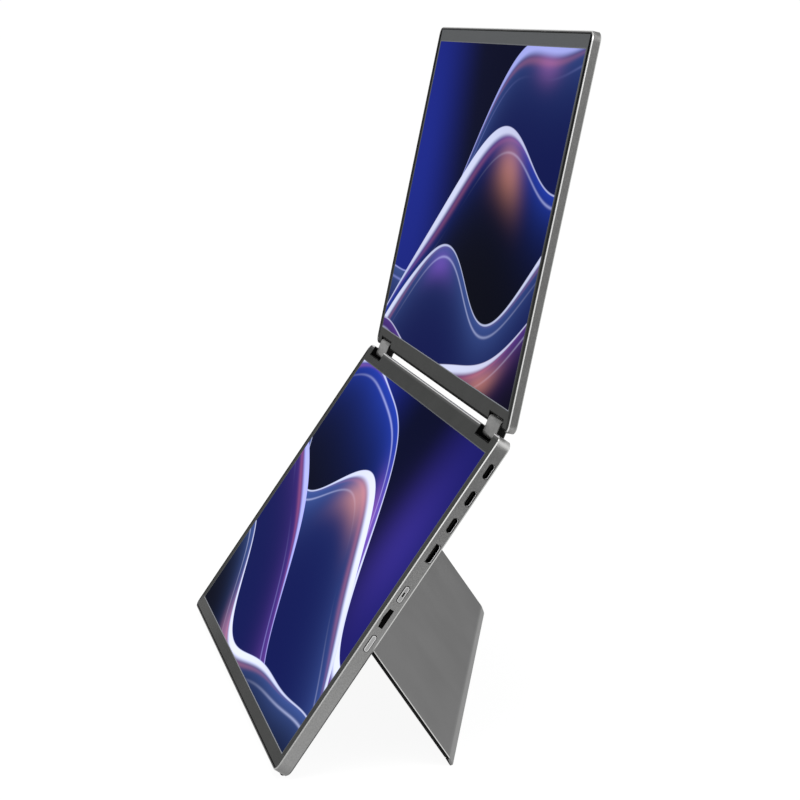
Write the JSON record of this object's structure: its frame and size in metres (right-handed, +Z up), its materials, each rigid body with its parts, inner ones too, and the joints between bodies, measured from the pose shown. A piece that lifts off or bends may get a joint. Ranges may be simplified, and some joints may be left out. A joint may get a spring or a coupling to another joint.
{
  "type": "laptop screen extender",
  "caption": "Portable pair of flat displays stacked on a geared double hinge, with a slanted fold-out kickstand, sockets and buttons along one side.",
  "frame": {"origin": "on the table plane, under the centre of the object's bounding box, with the displays open and the stand out", "axes": "+X to the viewer's right along the hinge shafts, +Y away from the viewer, +Z up"},
  "size_m": [0.3174, 0.1854, 0.3825],
  "materials": {
    "housing": "bead-blasted, dark silver anodised",
    "trim": "black, fine matt texture",
    "cover_glass": "clear over a black printed border, polished",
    "display_panel": "thin laminated panel, blue and violet picture",
    "mid_frame": "pressed sheet, plain",
    "circuit_board": "green solder mask",
    "socket_metal": "dark stamped shell",
    "switch_metal": "stamped",
    "pin_steel": "ground",
    "screw_steel": "plated",
    "brass_insert": "turned",
    "foot_rubber": "matt, soft",
    "bracket_steel": "stamped",
    "gear_metal": "cut teeth, lightly greased",
    "hinge_cover": "light grey, satin",
    "hinge_black": "black, satin",
    "stand_skin": "bead-blasted, dark silver anodised",
    "stand_liner": "black, fine matt texture",
    "button_grey": "satin",
    "button_black": "black, smooth"
  },
  "bodies": {
    "lower_display": {"lower_back_cover": "housing", "lower_trim_ring": "trim", "lower_cover_glass": "cover_glass", "lower_oled_panel": "display_panel", "lower_mid_frame": "mid_frame", "main_board": "circuit_board", "usb_c_port_upper": "socket_metal", "usb_c_port_middle": "socket_metal", "usb_c_port_lower": "socket_metal", "mini_hdmi_port": "socket_metal", "button_board": "circuit_board", "tactile_switches": "switch_metal", "rocker_pin": "pin_steel", "tripod_insert": "brass_insert", "rubber_feet": "foot_rubber", "stand_bracket_left": "bracket_steel", "stand_bracket_right": "bracket_steel", "stand_pins": "pin_steel", "stand_screws": "screw_steel", "lower_pocket_liner_left": "trim", "lower_pocket_liner_right": "trim", "lower_hinge_bracket_left": "bracket_steel", "lower_hinge_bracket_right": "bracket_steel", "lower_shaft_left": "pin_steel", "lower_shaft_right": "pin_steel", "lower_gear_left": "gear_metal", "lower_gear_right": "gear_metal", "lower_hinge_screws": "screw_steel"},
    "hinge_links": {"hinge_cover_left": "hinge_cover", "hinge_cover_right": "hinge_cover", "hinge_housing_left": "hinge_black", "hinge_housing_right": "hinge_black", "hinge_end_plate_left": "hinge_black", "hinge_end_plate_right": "hinge_black", "idler_pins": "pin_steel"},
    "idler_near": {"idler_gears_near": "gear_metal"},
    "idler_far": {"idler_gears_far": "gear_metal"},
    "upper_display": {"upper_back_cover": "housing", "upper_trim_ring": "trim", "upper_cover_glass": "cover_glass", "upper_oled_panel": "display_panel", "upper_mid_frame": "mid_frame", "driver_board": "circuit_board", "upper_pocket_liner_left": "trim", "upper_pocket_liner_right": "trim", "upper_hinge_bracket_left": "bracket_steel", "upper_hinge_bracket_right": "bracket_steel", "upper_shaft_left": "pin_steel", "upper_shaft_right": "pin_steel", "upper_gear_left": "gear_metal", "upper_gear_right": "gear_metal", "upper_hinge_screws": "screw_steel"},
    "kickstand": {"stand_plate": "stand_skin", "stand_liner": "stand_liner", "stand_foot_strip": "foot_rubber"},
    "power_button": {"power_button": "button_grey"},
    "menu_button": {"menu_button": "button_grey"},
    "nav_rocker": {"nav_rocker": "button_black"}
  },
  "joints": [
    {"name": "fold_lower", "type": "hinge", "parent": "lower_display", "child": "hinge_links", "pos_m": [0, 0.02968, 0.1723], "axis": [1, 0, 0], "range_deg": [-71.4, 78.4]},
    {"name": "fold_upper", "type": "hinge", "parent": "hinge_links", "child": "upper_display", "pos_m": [0, 0.03267, 0.17918], "axis": [1, 0, 0], "range_deg": [-71.4, 78.4]},
    {"name": "idler_near_spin", "type": "hinge", "parent": "hinge_links", "child": "idler_near", "pos_m": [0, 0.03068, 0.17459], "axis": [1, 0, 0], "range_deg": [-80, 80]},
    {"name": "idler_far_spin", "type": "hinge", "parent": "hinge_links", "child": "idler_far", "pos_m": [0, 0.03167, 0.17689], "axis": [1, 0, 0], "range_deg": [-80, 80]},
    {"name": "stand_fold", "type": "hinge", "parent": "lower_display", "child": "kickstand", "pos_m": [0, -0.01866, 0.10013], "axis": [0.9617, -0.1571, -0.2244], "range_deg": [-72.1, 0]},
    {"name": "power_press", "type": "slide", "parent": "lower_display", "child": "power_button", "axis": [-1, 0, 0], "range_m": [0, 0.00035], "stiffness_N_per_m": 1200},
    {"name": "menu_press", "type": "slide", "parent": "lower_display", "child": "menu_button", "axis": [-1, 0, 0], "range_m": [0, 0.00035], "stiffness_N_per_m": 1200},
    {"name": "rocker_tilt", "type": "hinge", "parent": "lower_display", "child": "nav_rocker", "pos_m": [0.156, -0.0336, 0.08349], "axis": [0, -0.8192, 0.5736], "range_deg": [-4, 4], "stiffness_Nm_per_rad": 0.04}
  ],
  "couplings": [
    {"joint": "fold_upper", "follows": "fold_lower", "ratio": 1},
    {"joint": "idler_near_spin", "follows": "fold_lower", "ratio": 1},
    {"joint": "idler_far_spin", "follows": "fold_lower", "ratio": -1}
  ]
}
